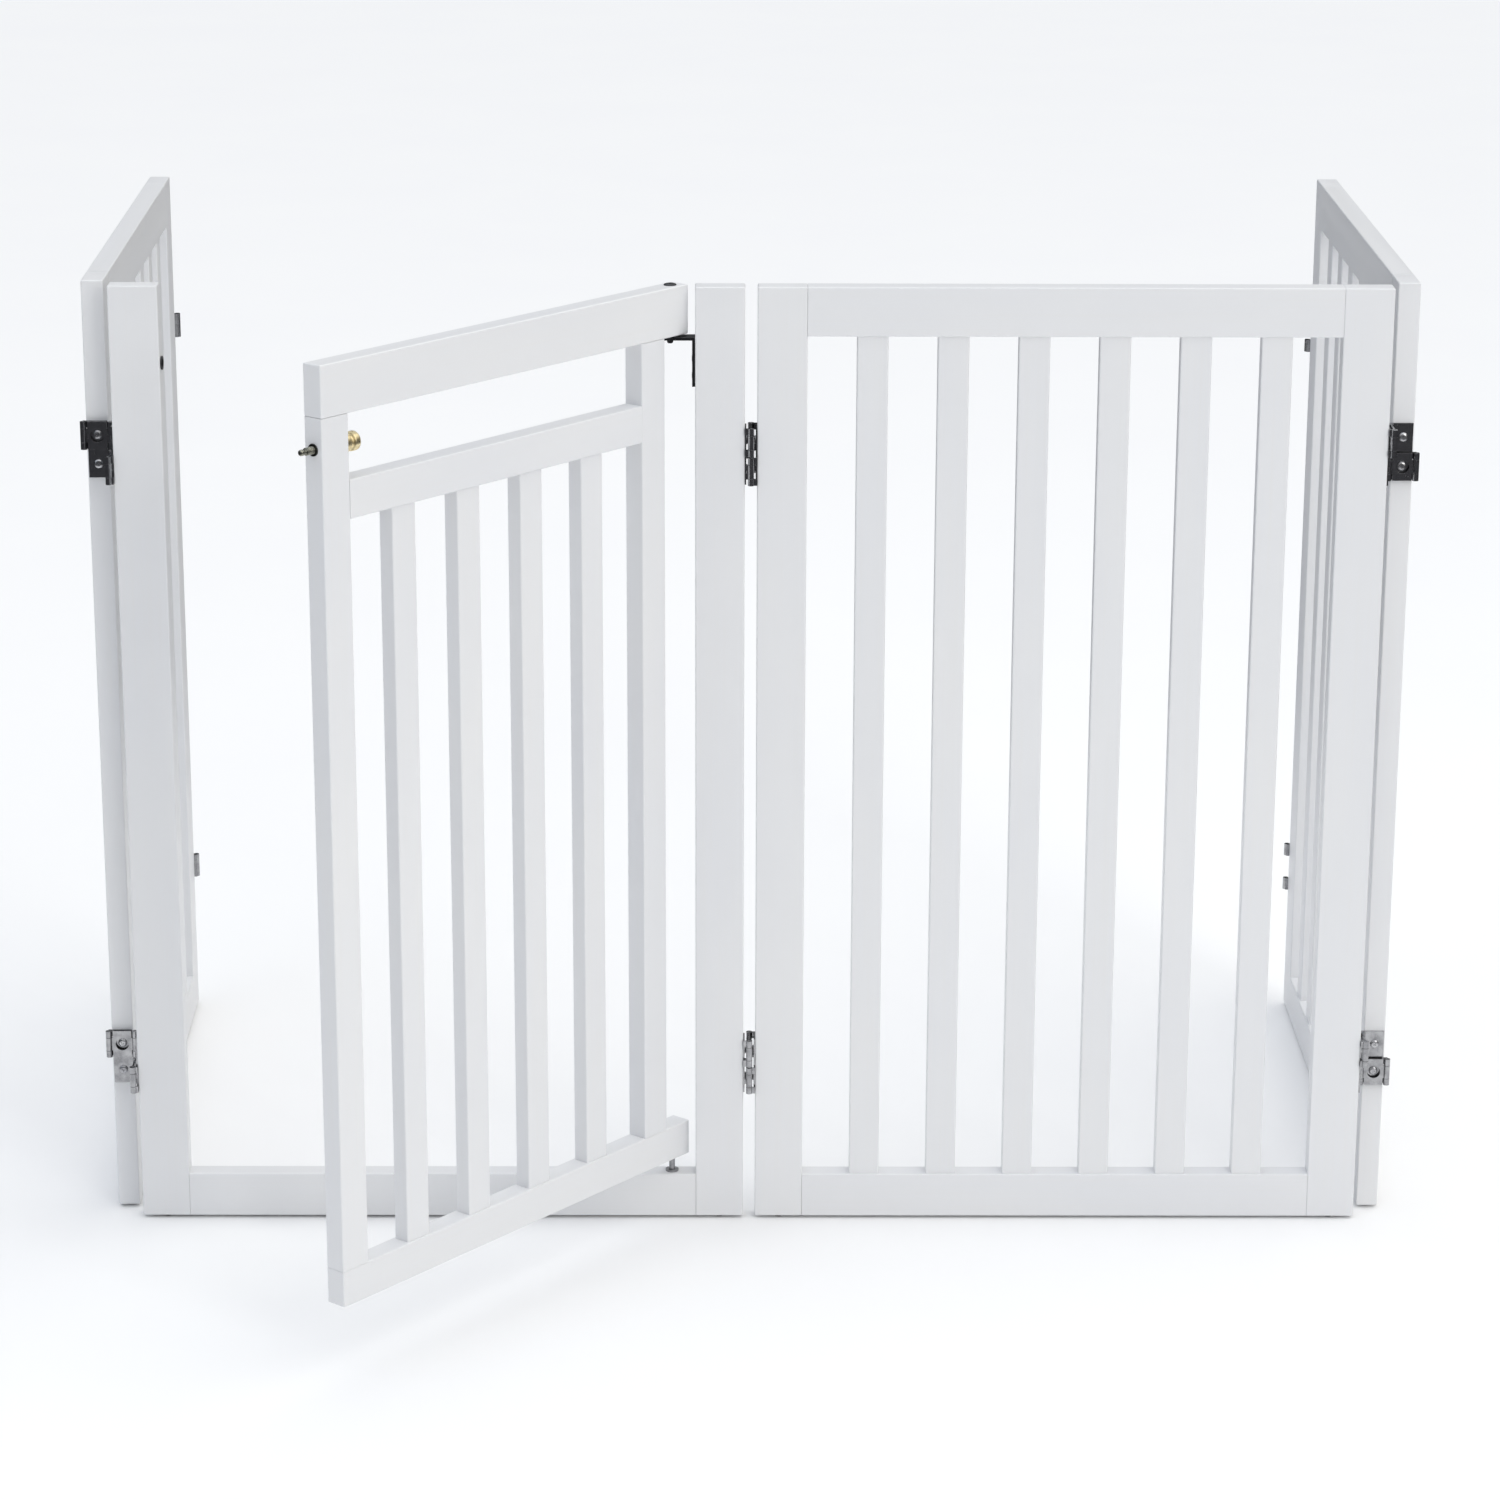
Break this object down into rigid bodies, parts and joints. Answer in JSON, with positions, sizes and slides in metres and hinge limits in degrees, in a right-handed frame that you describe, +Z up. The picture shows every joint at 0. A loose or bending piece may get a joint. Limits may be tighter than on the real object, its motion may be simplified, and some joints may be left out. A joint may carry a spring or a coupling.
{
  "type": "folding pet gate",
  "caption": "Free-standing folding wooden pet gate with slatted panels on two-way hinges and a swinging walk-through door with a sprung bolt latch.",
  "frame": {"origin": "centre of the bounding box's footprint, on the floor under the feet", "axes": "+Z up; +X to the right along the door frame and the plain panel, seen from the front; +Y towards the folded-back end panels; the door opens towards -Y"},
  "size_m": [1.0876, 0.853, 0.8025],
  "materials": {
    "white_wood": "satin white paint on planed wood",
    "plated_steel": "bright zinc or nickel plate",
    "pins": "plated wire",
    "screws": "bright zinc plate",
    "dark_steel": "blackened or dark oiled steel",
    "washers": "plain plated steel",
    "spring_wire": "bare spring steel",
    "brass_knob": "satin lacquered brass",
    "brass_bush": "plain turned brass",
    "black_glides": "matt black nail-on glide"
  },
  "bodies": {
    "door_frame": {"frame_latch_stile": "white_wood", "frame_hinge_stile": "white_wood", "frame_bottom_rail": "white_wood", "frame_feet": "black_glides", "frame_screws": "screws", "frame_hinge_pins": "pins", "left_line_right_leaves": "plated_steel", "left_line_lower_links": "plated_steel", "middle_line_left_leaves": "plated_steel", "pivot_bracket": "dark_steel", "lower_pivot_pin": "dark_steel", "lower_pivot_washer": "washers", "strike_bush": "dark_steel"},
    "left_panel": {"left_panel_far_stile": "white_wood", "left_panel_hinge_stile": "white_wood", "left_panel_bottom_rail": "white_wood", "left_panel_top_rail": "white_wood", "left_panel_slats": "white_wood", "left_panel_feet": "black_glides", "left_panel_screws": "screws", "left_panel_hinge_pins": "pins", "left_line_left_leaves": "plated_steel", "left_line_upper_links": "plated_steel", "left_end_half_hinges": "plated_steel"},
    "middle_upper_links": {"middle_line_upper_links": "plated_steel"},
    "middle_lower_links": {"middle_line_lower_links": "plated_steel"},
    "plain_panel": {"plain_panel_left_stile": "white_wood", "plain_panel_right_stile": "white_wood", "plain_panel_bottom_rail": "white_wood", "plain_panel_top_rail": "white_wood", "plain_panel_slats": "white_wood", "plain_panel_feet": "black_glides", "plain_panel_screws": "screws", "plain_panel_hinge_pins": "pins", "middle_line_right_leaves": "plated_steel", "right_line_left_leaves": "plated_steel", "right_line_upper_links": "plated_steel"},
    "right_panel": {"right_panel_hinge_stile": "white_wood", "right_panel_far_stile": "white_wood", "right_panel_bottom_rail": "white_wood", "right_panel_top_rail": "white_wood", "right_panel_slats": "white_wood", "right_panel_feet": "black_glides", "right_panel_screws": "screws", "right_panel_hinge_pins": "pins", "right_line_right_leaves": "plated_steel", "right_line_lower_links": "plated_steel", "right_end_half_hinges": "plated_steel"},
    "door": {"door_top_rail": "white_wood", "door_mid_rail": "white_wood", "door_bottom_rail": "white_wood", "door_latch_stile": "white_wood", "door_hinge_stile": "white_wood", "door_slats": "white_wood", "top_pivot_bolt": "dark_steel", "top_pivot_washer": "washers", "latch_guide_bush": "brass_bush", "latch_spring": "spring_wire"},
    "latch_bolt": {"latch_bolt_rod": "dark_steel", "latch_knob": "brass_knob"}
  },
  "joints": [
    {"name": "left_fold", "type": "hinge", "parent": "door_frame", "child": "left_panel", "pos_m": [-0.51484, -0.09209, 0.4], "axis": [0, 0, -1], "range_deg": [-89, 90]},
    {"name": "middle_front_fold", "type": "hinge", "parent": "door_frame", "child": "middle_upper_links", "pos_m": [0.00216, -0.11409, 0.4], "axis": [0, 0, 1], "range_deg": [-125, 0]},
    {"name": "middle_back_fold", "type": "hinge", "parent": "middle_upper_links", "child": "plain_panel", "pos_m": [0.00216, -0.09209, 0.4], "axis": [0, 0, 1], "range_deg": [0, 90]},
    {"name": "middle_lower_links_follow", "type": "hinge", "parent": "door_frame", "child": "middle_lower_links", "pos_m": [0.00216, -0.09209, 0.4], "axis": [0, 0, 1], "range_deg": [0, 90]},
    {"name": "right_fold", "type": "hinge", "parent": "plain_panel", "child": "right_panel", "pos_m": [0.51916, -0.09209, 0.4], "axis": [0, 0, -1], "range_deg": [-89, 90]},
    {"name": "door_swing", "type": "hinge", "parent": "door_frame", "child": "door", "pos_m": [-0.06284, -0.10309, 0.4], "axis": [0, 0, 1], "range_deg": [-175.4, 74.6]},
    {"name": "bolt_slide", "type": "slide", "parent": "door", "child": "latch_bolt", "axis": [0.6374, 0.7705, 0], "range_m": [0, 0.013], "stiffness_N_per_m": 300, "springref_m": -0.01, "deforming": ["latch_spring"]}
  ],
  "couplings": [
    {"joint": "middle_lower_links_follow", "follows": "middle_back_fold", "ratio": 1}
  ]
}
